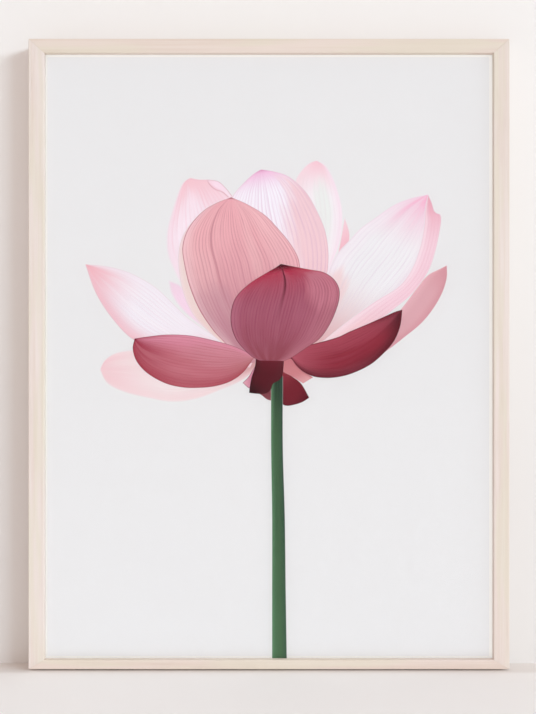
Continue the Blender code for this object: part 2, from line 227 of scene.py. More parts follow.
def worn_arris_group():
    """Finds the arrises of a piece, where handling rubs the finish thin."""
    tree, w, given, result = shader_group(
        "Worn Arris",
        {"Vector": (0.0, 0.0, 0.0), "Color": tone(235, 225, 214), "Worn": tone(216, 196, 172),
         "Reach": 1.0, "Amount": 0.4},
        {"Color": "Color"})
    radius = w.math("MULTIPLY", given["Reach"], MM)
    softened = w.node("Bevel", {"Radius": radius}, samples=4).outputs["Normal"]
    straight = w.node("NewGeometry").outputs["Normal"]
    facing = w.node("VectorMath", operation="DOT_PRODUCT")
    w.feed(facing.inputs[0], softened)
    w.feed(facing.inputs[1], straight)
    edge = w.ease(w.math("SUBTRACT", 1.0, facing.outputs["Value"]), 0.02, 0.22)
    patchy = w.ease(w.noise(given["Vector"], 90.0, 4.0, 0.6), 0.35, 0.65)
    edge = w.math("MULTIPLY", edge, w.math("MULTIPLY_ADD", patchy, 0.7, 0.3))
    w.feed(result["Color"], w.blend(w.math("MULTIPLY", edge, given["Amount"]), given["Color"],
                                    given["Worn"]))
    return tree


def speckle_group():
    """Two sizes of soft speckle, for plating, pressed fibre and rubber."""
    tree, w, given, result = shader_group(
        "Speckle",
        {"Vector": (0.0, 0.0, 0.0), "Color": tone(160, 160, 160), "Dark": tone(120, 120, 120),
         "Coarse Size": 3.0, "Fine Size": 0.6, "Amount": 0.5, "Rough": 0.4, "Rough Swing": 0.2},
        {"Color": "Color", "Roughness": "Float", "Height": "Float"})
    coarse = w.noise(given["Vector"], w.math("DIVIDE", 1000.0, given["Coarse Size"]), 3.0, 0.6)
    fine = w.noise(given["Vector"], w.math("DIVIDE", 1000.0, given["Fine Size"]), 2.0, 0.6)
    both = w.math("MULTIPLY_ADD", coarse, 0.6, w.math("MULTIPLY", fine, 0.4))
    share = w.math("MULTIPLY", w.ease(both, 0.38, 0.64), given["Amount"])
    w.feed(result["Color"], w.blend(share, given["Color"], given["Dark"]))
    swing = w.math("SUBTRACT", both, 0.5)
    w.feed(result["Roughness"], w.math("MULTIPLY_ADD", swing, given["Rough Swing"],
                                       given["Rough"], clamp=True))
    w.feed(result["Height"], both)
    return tree


PETAL_LOOK = {
    "Heart": tone(240, 225, 225), "Body": tone(240, 200, 205), "Tip": tone(230, 170, 185),
    "Heart Reach": 0.5, "Tip Start": 0.6,
    "Left Tint": tone(240, 200, 205), "Left Reach": 0.4, "Left Amount": 0.0,
    "Right Tint": tone(240, 200, 205), "Right Reach": 0.4, "Right Amount": 0.0,
    "Patch": tone(240, 200, 205), "Patch Across": 0.5, "Patch Along": 0.5, "Patch Width": 0.3,
    "Patch Length": 0.3, "Patch Amount": 0.0, "Mottle": 0.05,
    "Band": tone(200, 80, 110), "Band Width": 8.0, "Band Start": 0.5, "Band Amount": 0.0,
    "Vein": tone(200, 138, 150), "Vein Count": 26.0, "Vein Amount": 0.3, "Vein Start": 0.0,
    "Midrib": tone(180, 110, 126), "Midrib Place": 0.5, "Midrib Amount": 0.0,
    "Midrib Start": 0.3,
    "Wash": tone(255, 240, 245), "Wash Amount": 0.0, "Wash Size": 1.0,
    "Outline": tone(150, 90, 100), "Outline Width": 0.8, "Outline Amount": 0.0,
    "Point": tone(110, 30, 50), "Point Start": 0.95, "Point Amount": 0.0,
    "Ground": tone(*GROUND), "Fade": 0.5,
}


def petal_ink_group():
    """A petal's printed colour. Place is across (X) and along (Y), Rim the way in from its sides."""
    tree, w, given, result = shader_group(
        "Petal Ink", {"Place": (0.0, 0.0, 0.0), "Rim": 1.0, "Seed": 0.0, **PETAL_LOOK},
        {"Color": "Color"})
    place = w.node("SeparateXYZ", {"Vector": given["Place"]}).outputs
    across, along = place["X"], place["Y"]
    from_right = w.math("SUBTRACT", 1.0, across)
    own = w.node("CombineXYZ", {"X": across, "Y": along, "Z": given["Seed"]}).outputs[0]

    colour = w.blend(w.ease(along, 0.0, given["Heart Reach"]), given["Heart"], given["Body"])
    colour = w.blend(w.ease(along, given["Tip Start"], 1.0), colour, given["Tip"])
    left = w.math("SUBTRACT", 1.0, w.ease(across, 0.0, given["Left Reach"]))
    colour = w.blend(w.math("MULTIPLY", left, given["Left Amount"]), colour, given["Left Tint"])
    right = w.math("SUBTRACT", 1.0, w.ease(from_right, 0.0, given["Right Reach"]))
    colour = w.blend(w.math("MULTIPLY", right, given["Right Amount"]), colour,
                     given["Right Tint"])

    # loose washes that follow the petal
    washes = w.noise(w.stretch(own, (5.0, 1.6, 1.0)), given["Wash Size"], 3.0, 0.5)
    colour = w.blend(w.math("MULTIPLY", w.ease(washes, 0.42, 0.68), given["Wash Amount"]),
                     colour, given["Wash"])

    band = w.math("SUBTRACT", 1.0, w.ease(given["Rim"], 0.0, given["Band Width"]))
    band_end = w.math("ADD", given["Band Start"], 0.35)
    band = w.math("MULTIPLY", band, w.ease(along, given["Band Start"], band_end))
    colour = w.blend(w.math("MULTIPLY", band, given["Band Amount"]), colour, given["Band"])

    # one larger patch of another tint, with a loose edge
    off_across = w.math("DIVIDE", w.math("SUBTRACT", across, given["Patch Across"]),
                        given["Patch Width"])
    off_along = w.math("DIVIDE", w.math("SUBTRACT", along, given["Patch Along"]),
                       given["Patch Length"])
    distance = w.math("SQRT", w.math("ADD", w.math("MULTIPLY", off_across, off_across),
                                     w.math("MULTIPLY", off_along, off_along)))
    loose = w.noise(w.stretch(own, (9.0, 3.0, 1.0)), 1.0, 3.0, 0.55)
    distance = w.math("MULTIPLY_ADD", loose, 0.9, w.math("SUBTRACT", distance, 0.45))
    patch = w.math("SUBTRACT", 1.0, w.ease(distance, 0.55, 1.15))
    colour = w.blend(w.math("MULTIPLY", patch, given["Patch Amount"]), colour, given["Patch"])
    cloud = w.noise(w.stretch(own, (14.0, 9.0, 1.0)), 1.0, 5.0, 0.6)
    colour = w.times(colour, w.around_middle(cloud, given["Mottle"]))

    # veins run from heart to tip, thin and unevenly spaced
    wobble = w.noise(w.stretch(own, (9.0, 0.8, 1.0)), 1.0, 3.0, 0.6)
    shifted = w.math("MULTIPLY_ADD", w.math("SUBTRACT", wobble, 0.5), 0.022, across)
    turns = w.math("MULTIPLY", w.math("MULTIPLY", shifted, given["Vein Count"]), 2 * math.pi)
    wave = w.math("MULTIPLY_ADD", w.math("SINE", turns), 0.5, 0.5)
    line = w.math("POWER", wave, 4.0)
    ink_load = w.noise(w.stretch(own, (60.0, 4.0, 1.0)), 1.0, 2.0, 0.5)
    line = w.math("MULTIPLY", line, w.ease(ink_load, 0.30, 0.62))
    hair = w.noise(w.stretch(own, (110.0, 3.0, 1.0)), 1.0, 2.0, 0.5)
    veins = w.math("MULTIPLY_ADD", w.ease(hair, 0.46, 0.72), 0.45, line, clamp=True)
    vein_end = w.math("ADD", given["Vein Start"], 0.3)
    veins = w.math("MULTIPLY", veins, w.ease(along, given["Vein Start"], vein_end))
    colour = w.blend(w.math("MULTIPLY", veins, given["Vein Amount"]), colour, given["Vein"])

    off_rib = w.math("ABSOLUTE", w.math("SUBTRACT", shifted, given["Midrib Place"]))
    rib = w.math("SUBTRACT", 1.0, w.ease(off_rib, 0.002, 0.020))
    rib_end = w.math("ADD", given["Midrib Start"], 0.4)
    rib = w.math("MULTIPLY", rib, w.ease(along, given["Midrib Start"], rib_end))
    colour = w.blend(w.math("MULTIPLY", rib, given["Midrib Amount"]), colour, given["Midrib"])

    point = w.math("MULTIPLY", w.ease(along, given["Point Start"], 1.0), given["Point Amount"])
    colour = w.blend(point, colour, given["Point"])

    outline_from = w.math("MULTIPLY", given["Outline Width"], 0.3)
    outline = w.math("SUBTRACT", 1.0, w.ease(given["Rim"], outline_from, given["Outline Width"]))
    colour = w.blend(w.math("MULTIPLY", outline, given["Outline Amount"]), colour,
                     given["Outline"])
    w.feed(result["Color"], w.blend(w.ease(given["Rim"], 0.0, given["Fade"]), given["Ground"],
                                    colour))
    return tree


TOOTH = paper_tooth_group()
GRAIN = lengthwise_grain_group()
ARRIS = worn_arris_group()
SPECKLE = speckle_group()
PETAL_INK = petal_ink_group()


# ---------------------------------------------------------------- materials

def new_material(name):
    """A node material with its Principled shader: (material, wiring, shader)."""
    material = bpy.data.materials.new(name)
    material.use_nodes = True
    tree = material.node_tree
    return material, Wiring(tree), tree.nodes["Principled BSDF"]


def object_place(w):
    return w.node("TexCoord").outputs["Object"]


def add_bump(w, shader, height, depth_mm):
    bump = w.node("Bump", {"Height": height, "Distance": depth_mm * MM, "Strength": 1.0})
    w.feed(shader.inputs["Normal"], bump.outputs["Normal"])


def wood_material(name, turn, move, **look):
    """Whitewashed pale wood, its grain turned to run along the rail."""
    material, w, shader = new_material(name)
    place = w.stretch(object_place(w), (1.0, 1.0, 1.0), move, turn)
    grain = w.use(GRAIN, {"Vector": place, **look})
    arris = w.use(ARRIS, {"Vector": place, "Color": grain["Color"], "Amount": 0.15})
    w.feed(shader.inputs["Base Color"], arris["Color"])
    w.feed(shader.inputs["Roughness"], grain["Roughness"])
    shader.inputs["Specular IOR Level"].default_value = 0.3
    add_bump(w, shader, grain["Height"], 0.12)
    return material


def print_material():
    """The sheet's even light grey ground, with a sliver of bare paper left round it."""
    material, w, shader = new_material("print ground")
    place = object_place(w)
    at = w.node("SeparateXYZ", {"Vector": place}).outputs
    left, right, bottom, top = PRINT_EDGES
    inside = w.math("MINIMUM",
                    w.math("MINIMUM", w.math("SUBTRACT", at["X"], left),
                           w.math("SUBTRACT", right, at["X"])),
                    w.math("MINIMUM", w.math("SUBTRACT", at["Z"], bottom),
                           w.math("SUBTRACT", top, at["Z"])))
    printed = w.ease(inside, 0.0, 0.5 * MM)
    tooth = w.use(TOOTH, {"Vector": place,
                          "Color": w.blend(printed, tone(*BARE_PAPER), tone(*GROUND))})
    w.feed(shader.inputs["Base Color"], tooth["Color"])
    w.feed(shader.inputs["Roughness"], tooth["Roughness"])
    shader.inputs["Specular IOR Level"].default_value = 0.15
    add_bump(w, shader, tooth["Height"], 0.01)
    return material


def petal_material(name, seed, look):
    """Printed ink over the same paper, so that a faded edge melts into the ground."""
    material, w, shader = new_material(name)
    ink = w.use(PETAL_INK, {
        "Place": w.node("UVMap", uv_map="UVMap").outputs["UV"],
        "Rim": w.node("Attribute", attribute_name="rim").outputs["Fac"],
        "Seed": seed,
        **look})
    tooth = w.use(TOOTH, {"Vector": object_place(w), "Color": ink["Color"]})
    w.feed(shader.inputs["Base Color"], tooth["Color"])
    w.feed(shader.inputs["Roughness"], tooth["Roughness"])
    shader.inputs["Specular IOR Level"].default_value = 0.15
    add_bump(w, shader, tooth["Height"], 0.01)
    return material


def glazing_material():
    """Clear low-reflection glazing: see-through, with a faint sheen that grows at a slant."""
    material = bpy.data.materials.new("clear glazing")
    material.use_nodes = True
    tree = material.node_tree
    tree.nodes.remove(tree.nodes["Principled BSDF"])
    w = Wiring(tree)
    dust = w.use(SPECKLE, {"Vector": object_place(w), "Coarse Size": 60.0, "Fine Size": 4.0,
                           "Rough": 0.03, "Rough Swing": 0.04})
    clear = w.node("BsdfTransparent", {"Color": (0.993, 0.996, 0.995, 1.0)})
    gloss = w.node("BsdfAnisotropic", {"Color": (1.0, 1.0, 1.0, 1.0),
                                       "Roughness": dust["Roughness"]})
    sheen = w.node("Fresnel", {"IOR": 1.16})
    mixed = w.node("MixShader", {"Fac": sheen.outputs["Fac"]})
    w.feed(mixed.inputs[1], clear.outputs[0])
    w.feed(mixed.inputs[2], gloss.outputs[0])
    shadow = w.node("LightPath").outputs["Is Shadow Ray"]
    lit = w.node("MixShader", {"Fac": shadow})
    w.feed(lit.inputs[1], mixed.outputs[0])
    w.feed(lit.inputs[2], w.node("BsdfTransparent").outputs[0])
    w.feed(tree.nodes["Material Output"].inputs["Surface"], lit.outputs[0])
    return material


def card_material():
    material, w, shader = new_material("grey filler card")
    place = object_place(w)
    tooth = w.use(TOOTH, {"Vector": place, "Color": tone(196, 195, 190), "Mottle": 0.12,
                          "Fibre Size": 1.2})
    arris = w.use(ARRIS, {"Vector": place, "Color": tooth["Color"], "Worn": tone(214, 212, 206),
                          "Reach": 0.4})
    w.feed(shader.inputs["Base Color"], arris["Color"])
    w.feed(shader.inputs["Roughness"], tooth["Roughness"])
    add_bump(w, shader, tooth["Height"], 0.03)
    return material


def hardboard_material():
    material, w, shader = new_material("brown hardboard")
    place = object_place(w)
    fibre = w.use(SPECKLE, {"Vector": w.stretch(place, (1.0, 1.0, 1.7)),
                            "Color": tone(150, 108, 74), "Dark": tone(112, 76, 49),
                            "Coarse Size": 3.0, "Fine Size": 0.6, "Amount": 0.6,
                            "Rough": 0.55, "Rough Swing": 0.3})
    arris = w.use(ARRIS, {"Vector": place, "Color": fibre["Color"], "Worn": tone(170, 130, 94),
                          "Reach": 0.7, "Amount": 0.6})
    w.feed(shader.inputs["Base Color"], arris["Color"])
    w.feed(shader.inputs["Roughness"], fibre["Roughness"])
    add_bump(w, shader, fibre["Height"], 0.04)
    return material


def steel_material(name, light, dark):
    material, w, shader = new_material(name)
    place = object_place(w)
    spangle = w.use(SPECKLE, {"Vector": place, "Color": light, "Dark": dark, "Coarse Size": 2.5,
                              "Fine Size": 0.25, "Amount": 0.7, "Rough": 0.36,
                              "Rough Swing": 0.35})
    arris = w.use(ARRIS, {"Vector": place, "Color": spangle["Color"],
                          "Worn": tone(226, 226, 228), "Reach": 0.2, "Amount": 0.6})
    w.feed(shader.inputs["Base Color"], arris["Color"])
    w.feed(shader.inputs["Roughness"], spangle["Roughness"])
    shader.inputs["Metallic"].default_value = 1.0
    add_bump(w, shader, spangle["Height"], 0.01)
    return material


def rubber_material():
    material, w, shader = new_material("matt black rubber")
    place = object_place(w)
    skin = w.use(SPECKLE, {"Vector": place, "Color": tone(44, 44, 45), "Dark": tone(30, 30, 31),
                           "Coarse Size": 1.5, "Fine Size": 0.3, "Rough": 0.72,
                           "Rough Swing": 0.2})
    arris = w.use(ARRIS, {"Vector": place, "Color": skin["Color"], "Worn": tone(78, 78, 78),
                          "Reach": 0.3})
    w.feed(shader.inputs["Base Color"], arris["Color"])
    w.feed(shader.inputs["Roughness"], skin["Roughness"])
    add_bump(w, shader, skin["Height"], 0.02)
    return material


def dress(nodes, material):
    """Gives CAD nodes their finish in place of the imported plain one."""
    for name in nodes:
        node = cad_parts[name]
        for slot in node.material_slots:
            slot.material = material


def nodes_like(*starts):
    return [name for name in sorted(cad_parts) if name.startswith(starts)]


def dress_the_frame():
    upright = (0.0, math.pi / 2, 0.0)
    # painted shade: the top and bottom rails take darker pale and streak tones than the side rails, for
    # how the light falls on them
    dress(["top_rail"], wood_material("pale wood, painted shade, top rail", (0, 0, 0), (0.31, 0.02, 0.07),
                                      Pale=tone(238, 222, 212), Streak=tone(225, 203, 188)))
    dress(["bottom_rail"], wood_material("pale wood, painted shade, bottom rail", (0, 0, 0), (1.7, 0.4, 0.3),
                                         Pale=tone(240, 224, 215), Streak=tone(225, 203, 188)))
    dress(["left_rail"], wood_material("pale wood, left rail", upright, (2.3, 0.9, 0.6)))
    dress(["right_rail"], wood_material("pale wood, right rail", upright, (3.9, 1.3, 1.1)))
    dress(["glazing"], glazing_material())
    dress(["print_sheet"], print_material())
    dress(["backing_card"], card_material())
    dress(["back_panel"], hardboard_material())
    steel = steel_material("zinc-plated steel", tone(206, 207, 210), tone(172, 174, 178))
    dress(nodes_like("tab_", "corner_nail_"), steel)
    plated = steel_material("zinc-plated hanger", tone(214, 213, 208), tone(184, 182, 174))
    dress(nodes_like("hanger_"), plated)
    dress(nodes_like("bumper_", "foot_strip_"), rubber_material())


def new_piece(name, bm, material):
    mesh = bpy.data.meshes.new(name)
    bm.to_mesh(mesh)
    bm.free()
    piece = bpy.data.objects.new(name, mesh)
    bpy.context.scene.collection.objects.link(piece)
    piece.data.materials.append(material)
    return piece


# ---------------------------------------------------------------- the printed flower

def smooth_line(points, steps):
    """steps + 1 evenly spaced places along a smooth curve through the given points."""
    knots = [Vector((x * MM, 0.0, z * MM)) for x, z in points]
    gaps = [(b - a).length for a, b in zip(knots, knots[1:])]
    slopes = []
    for i in range(len(knots)):
        first, last = max(i - 1, 0), min(i + 1, len(knots) - 1)
        slopes.append((knots[last] - knots[first]) / sum(gaps[first:last]))
    fine = [knots[0]]
    for i, gap in enumerate(gaps):
        reach = gap / 3
        fine += interpolate_bezier(knots[i], knots[i] + slopes[i] * reach,
                                   knots[i + 1] - slopes[i + 1] * reach, knots[i + 1],
                                   CURVE_STEPS)[1:]
    travelled = [0.0]
    for a, b in zip(fine, fine[1:]):
        travelled.append(travelled[-1] + (b - a).length)
    places, at = [], 0
    for step in range(steps + 1):
        target = travelled[-1] * step / steps
        while at < len(fine) - 2 and travelled[at + 1] < target:
            at += 1
        span = travelled[at + 1] - travelled[at]
        places.append(fine[at].lerp(fine[at + 1], (target - travelled[at]) / span))
    return places


def ink_piece(name, left, right, layer, material):
    """One printed shape between two edges, both given from heart to tip as seen from the front."""
    left_line, right_line = smooth_line(left, ALONG), smooth_line(right, ALONG)
    depth = SHEET_LOW.y - INK_STEP * layer - INK_FILM
    bm = bmesh.new()
    bm.loops.layers.uv.new("UVMap")
    bmesh.ops.create_grid(bm, x_segments=ACROSS, y_segments=ALONG, size=0.5, calc_uvs=True)
    rim = bm.verts.layers.float.new("rim")
    for v in bm.verts:
        share, row = v.co.x + 0.5, round((v.co.y + 0.5) * ALONG)
        a, b = left_line[row], right_line[row]
        place = FLOWER_HEART + a.lerp(b, share)
        v[rim] = min(share, 1 - share) * (b - a).length / MM
        v.co = (place.x, depth, place.z)
    bmesh.ops.remove_doubles(bm, verts=bm.verts[:], dist=SAME_PLACE)
    bmesh.ops.solidify(bm, geom=bm.faces[:], thickness=INK_FILM)
    bmesh.ops.recalc_face_normals(bm, faces=bm.faces[:])
    piece = new_piece(name, bm, material)
    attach(piece, BODY)
    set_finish(piece, "print_paper")


def petal(name, layer, left, right, **look):
    """Look names are the ink group's, in small letters joined by underscores."""
    values = {}
    for key, value in look.items():
        label = key.replace("_", " ").title()
        values[label] = tone(*value) if isinstance(value, tuple) else float(value)
    material = petal_material("ink, " + name.replace("_", " "), layer * SEED_STEP, values)
    ink_piece(name, left, right, layer, material)


def far_petals():
    """The pale petals at the back, softly printed."""
    petal("petal_rear_left", 1,
          [(-50, 10), (-68, 38), (-83, 60), (-97, 87), (-104, 106), (-104, 127), (-99, 147),
           (-92, 168), (-87, 177), (-80, 181)],
          [(10, 20), (8, 70), (-4, 120), (-24, 152), (-40, 166), (-50, 175), (-60, 179),
           (-70, 179), (-80, 181)],
          heart=(243, 236, 237), body=(248, 231, 241), tip=(246, 203, 213), heart_reach=0.6,
          tip_start=0.60, left_tint=(246, 226, 238), left_amount=0.8, left_reach=0.14,
          patch=(250, 240, 250), patch_across=0.36, patch_along=0.66, patch_width=0.26,
          patch_length=0.24, patch_amount=0.6, mottle=0.08,
          vein=(232, 160, 182), vein_amount=0.26, vein_count=17, vein_start=0.4, fade=3.0)
    petal("petal_rear_left_curl", 2,
          [(-42, 161), (-48, 166), (-56, 169), (-62, 175), (-63, 179)],
          [(-38, 162), (-44, 170), (-52, 177), (-63, 179)],
          heart=(250, 232, 242), body=(250, 226, 240), tip=(247, 214, 226), fade=0.2,
          left_tint=(232, 170, 184), left_reach=0.4, left_amount=0.6, vein_amount=0.0,
          outline=(196, 132, 148), outline_amount=0.8, outline_width=0.8)
    petal("petal_rear_left_sliver", 3,
          [(-60, 24), (-79, 38), (-92, 51), (-100, 64), (-103, 79)],
          [(-46, 30), (-66, 44), (-78, 58), (-88, 72), (-103, 79)],
          heart=(244, 222, 232), body=(247, 220, 238), tip=(240, 214, 230), fade=3.4,
          vein_amount=0.1)
    petal("petal_rear_right_shadow", 4,
          [(40, 40), (58, 80), (68, 105), (72, 125), (75, 142)],
          [(60, 60), (72, 92), (79, 112), (80, 126), (75, 142)],
          heart=(246, 205, 215), body=(244, 190, 204), tip=(247, 214, 224), fade=1.2,
          vein_amount=0.15)
    petal("petal_rear_right", 5,
          [(20, 40), (22, 100), (22, 150), (25, 177), (32, 189), (40, 196), (47, 198)],
          [(50, 50), (62, 92), (69, 110), (73, 129), (73, 148), (69, 166), (63, 182), (56, 193),
           (47, 198)],
          heart=(244, 240, 241), body=(246, 241, 246), tip=(247, 203, 216), heart_reach=0.6,
          tip_start=0.70, left_tint=(247, 222, 230), left_amount=0.8, left_reach=0.4,
          right_tint=(249, 230, 242), right_amount=0.9, right_reach=0.22,
          patch=(232, 240, 236), patch_across=0.62, patch_along=0.62, patch_width=0.2,
          patch_length=0.26, patch_amount=0.6,
          vein=(224, 206, 216), vein_count=11, vein_amount=0.2, fade=1.6)
    petal("petal_middle_back", 6,
          [(-30, 30), (-44, 90), (-46, 140), (-37, 163), (-26, 176), (-16, 185), (-9, 189)],
          [(50, 40), (58, 86), (59, 105), (56, 126), (49, 144), (38, 164), (27, 176), (17, 183),
           (4, 187), (-9, 189)],
          heart=(246, 220, 226), body=(249, 245, 254), tip=(245, 192, 226), heart_reach=0.6,
          tip_start=0.74, patch=(243, 207, 214), patch_across=0.96, patch_along=0.50,
          patch_width=0.34, patch_length=0.42, patch_amount=0.9,
          vein=(214, 172, 202), vein_count=24, vein_amount=0.42, midrib_place=0.5,
          midrib=(214, 172, 202), midrib_amount=0.2, fade=0.8,
          outline=(226, 160, 188), outline_amount=0.7, outline_width=1.4,
          point=(214, 130, 180), point_start=0.93, point_amount=0.7)
    petal("petal_left_low_far", 7,
          [(-8, -8), (-16, -14.5), (-29, -24), (-47, -32), (-74, -42), (-99, -45), (-123, -41),
           (-147, -35), (-164, -26), (-171, -12)],
          [(-10, 4), (-60, 6), (-110, 10), (-138, 8), (-155, 5), (-166, -2), (-171, -12)],
          heart=(214, 160, 164), body=(244, 232, 234), tip=(241, 204, 211), heart_reach=0.38,
          tip_start=0.55, left_tint=(241, 212, 217), left_amount=0.7, left_reach=0.3,
          vein=(232, 194, 200), vein_amount=0.2, vein_count=18, fade=1.8, wash_amount=0.3,
          wash=(247, 240, 239))
    petal("petal_left_far", 8,
          [(-20, -10), (-70, -6), (-105, 4), (-138, 18), (-158, 38), (-175, 64), (-186, 94)],
          [(-10, 10), (-52, 21), (-81, 39), (-100, 57), (-114, 70), (-128, 79), (-145, 87),
           (-165, 92), (-186, 94)],
          heart=(238, 218, 224), body=(243, 238, 246), tip=(240, 180, 191), heart_reach=0.35,
          tip_start=0.62, left_tint=(239, 192, 203), left_amount=0.95, left_reach=0.34,
          right_tint=(244, 238, 246), right_amount=0.8, right_reach=0.3,
          patch=(240, 210, 220), patch_across=0.5, patch_along=0.24, patch_width=0.4,
          patch_length=0.12, patch_amount=0.5,
          vein=(232, 206, 220), vein_count=15, vein_amount=0.3, fade=0.8,
          outline=(214, 160, 172), outline_amount=0.4, outline_width=1.2,
          wash=(248, 243, 248), wash_amount=0.4)
    petal("petal_right_far", 9,
          [(80, -4), (110, 24), (134, 52), (152, 76), (160, 84), (168, 88), (178, 93)],
          [(95, -10), (125, 12), (135, 20), (151, 33), (163, 47), (173, 64), (178, 80),
           (178, 93)],
          heart=(216, 156, 166), body=(224, 175, 184), tip=(217, 155, 165), heart_reach=0.5,
          tip_start=0.7, right_tint=(214, 152, 162), right_amount=0.7, right_reach=0.4,
          left_tint=(240, 196, 204), left_amount=0.6, left_reach=0.35,
          vein=(205, 140, 154), vein_count=12, vein_amount=0.3, fade=0.8)
    petal("petal_right_pale", 10,
          [(30, 10), (48, 52), (60, 89), (68, 105), (80, 118), (90, 129), (105, 140), (124, 153),
           (141, 160), (159, 164)],
          [(70, 5), (100, 28), (124, 48), (143, 64), (159, 86), (166, 105), (171, 128),
           (172, 143), (166, 146), (163, 155), (159, 164)],
          heart=(226, 184, 188), body=(240, 239, 243), tip=(247, 166, 203), heart_reach=0.46,
          tip_start=0.60, left_tint=(246, 232, 243), left_amount=0.6, left_reach=0.25,
          right_tint=(243, 206, 226), right_amount=0.8, right_reach=0.3,
          patch=(242, 212, 214), patch_across=0.14, patch_along=0.30, patch_width=0.20,
          patch_length=0.14, patch_amount=0.75,
          vein=(226, 212, 226), vein_count=19, vein_amount=0.4, fade=0.8,
          outline=(242, 208, 226), outline_amount=0.5, outline_width=1.4,
          wash=(246, 244, 248), wash_amount=0.4)
    petal("petal_right_pale_fold", 11,
          [(50, 14), (80, 38), (105, 56), (129, 71), (141, 86), (150, 108), (155, 133),
           (156, 150), (159, 164)],
          [(75, 8), (100, 28), (124, 48), (143, 64), (159, 86), (166, 105), (171, 128),
           (172, 143), (166, 146), (163, 155), (159, 164)],
          heart=(243, 208, 212), body=(246, 214, 226), tip=(236, 172, 190), heart_reach=0.4,
          tip_start=0.7, left_tint=(249, 232, 240), left_amount=0.7, left_reach=0.5,
          vein=(226, 168, 190), vein_count=5, vein_amount=0.35, fade=0.8,
          outline=(218, 172, 196), outline_amount=0.4, outline_width=1.0)


def near_petals():
    """The coloured petals in front, sharply printed."""
    petal("petal_front_left_rim", 13,
          [(-30, 0), (-45, 12), (-65, 29), (-79, 46), (-88, 68), (-92, 92), (-91, 112),
           (-84, 129), (-68, 147), (-53, 156), (-39, 161)],
          [(0, 0), (-20, 20), (-40, 50), (-50, 80), (-50, 110), (-46, 140), (-39, 161)],
          heart=(238, 212, 208), body=(240, 222, 219), tip=(238, 190, 198), heart_reach=0.5,
          tip_start=0.5, left_tint=(244, 226, 232), left_amount=0.7, left_reach=0.1,
          vein=(224, 178, 184), vein_count=30, vein_amount=0.35, fade=0.6,
          outline=(206, 150, 164), outline_amount=0.5, outline_width=0.9)
    petal("petal_front_left", 14,
          [(-38, -6), (-42, 10), (-57, 27), (-71, 48), (-81, 72), (-86, 93), (-88, 111),
           (-82.5, 129), (-68, 146.5), (-53, 155.7), (-39, 161)],
          [(40, -4), (36, 50), (30, 92), (28, 101), (20, 115), (8.5, 129), (-5, 143), (-23, 154),
           (-39, 161)],
          heart=(196, 136, 150), body=(240, 183, 191), tip=(241, 180, 190), heart_reach=0.8,
          tip_start=0.75, left_tint=(244, 214, 220), left_amount=0.6, left_reach=0.13,
          right_tint=(246, 196, 204), right_amount=0.6, right_reach=0.35,
          patch=(188, 142, 158), patch_across=0.16, patch_along=0.24, patch_width=0.28,
          patch_length=0.22, patch_amount=0.4, mottle=0.07,
          band=(214, 96, 118), band_width=5, band_start=0.78, band_amount=0.45,
          vein=(190, 118, 134), vein_count=33, vein_amount=0.5,
          midrib=(172, 92, 110), midrib_place=0.27,
          midrib_amount=0.42, midrib_start=0.2, fade=0.01,
          outline=(168, 70, 90), outline_amount=0.8, outline_width=0.9,
          point=(120, 30, 52), point_start=0.965, point_amount=0.9,
          wash=(244, 204, 206), wash_amount=0.35)
    petal("petal_low_left", 16,
          [(0, 0), (-15, 0), (-20, -6), (-26, -14), (-33, -20), (-42, -25), (-56, -29),
           (-72, -30.5), (-88, -30), (-105, -26), (-123, -16), (-134, -4), (-138, 9),
           (-136, 19)],
          [(0, 4), (-16, 2), (-24, 6), (-38, 12), (-56, 17), (-80, 22), (-103, 23), (-123, 21),
           (-136, 19)],
          heart=(184, 122, 126), body=(196, 114, 128), tip=(160, 50, 72), heart_reach=0.4,
          tip_start=0.58, left_tint=(170, 70, 84), left_amount=0.8, left_reach=0.36,
          right_tint=(228, 154, 178), right_amount=0.85, right_reach=0.5,
          vein=(170, 62, 84), vein_count=17, vein_amount=0.34, fade=0.01, mottle=0.1,
          patch=(206, 140, 152), patch_across=0.66, patch_along=0.34, patch_width=0.3,
          patch_length=0.3, patch_amount=0.5,
          band=(150, 36, 58), band_width=5, band_start=0.62, band_amount=0.6,
          outline=(120, 50, 70), outline_amount=0.6, outline_width=0.8,
          point=(84, 20, 40), point_start=0.96, point_amount=0.8,
          wash=(212, 142, 154), wash_amount=0.3)
    petal("petal_low_right_patch", 17,
          [(8, 2), (11, -12), (22, -19), (33.3, -26)],
          [(26, 2), (27, -6), (35, -14), (43.2, -20)],
          heart=(200, 120, 130), body=(210, 136, 142), tip=(226, 168, 172), fade=0.01,
          right_tint=(188, 100, 112), right_reach=0.3, right_amount=0.6,
          outline=(214, 150, 156), outline_amount=0.5, outline_width=0.8,
          vein=(184, 100, 114), vein_amount=0.3, vein_count=6)
    petal("petal_low_right", 18,
          [(14, 6), (22, 10), (36, 12), (67, 20), (80, 26), (99, 34), (117, 42), (126, 46),
           (133, 48)],
          [(14, 0), (21, -1), (26, -7.5), (33, -14), (43.5, -19), (55, -20.5), (66, -20),
           (78, -17.5), (92, -12), (104, -5), (115, 5), (125, 17), (131, 32), (133, 48)],
          heart=(184, 90, 108), body=(146, 42, 60), tip=(56, 12, 24), heart_reach=0.42,
          tip_start=0.68, left_tint=(180, 82, 100), left_amount=0.7, left_reach=0.58,
          right_tint=(88, 24, 36), right_amount=0.9, right_reach=0.36, mottle=0.12,
          vein=(112, 30, 50), vein_count=15, vein_amount=0.4, fade=0.01,
          band=(96, 16, 34), band_width=7, band_start=0.55, band_amount=0.7,
          outline=(80, 26, 38), outline_amount=0.7, outline_width=1.0,
          wash=(176, 78, 98), wash_amount=0.3)


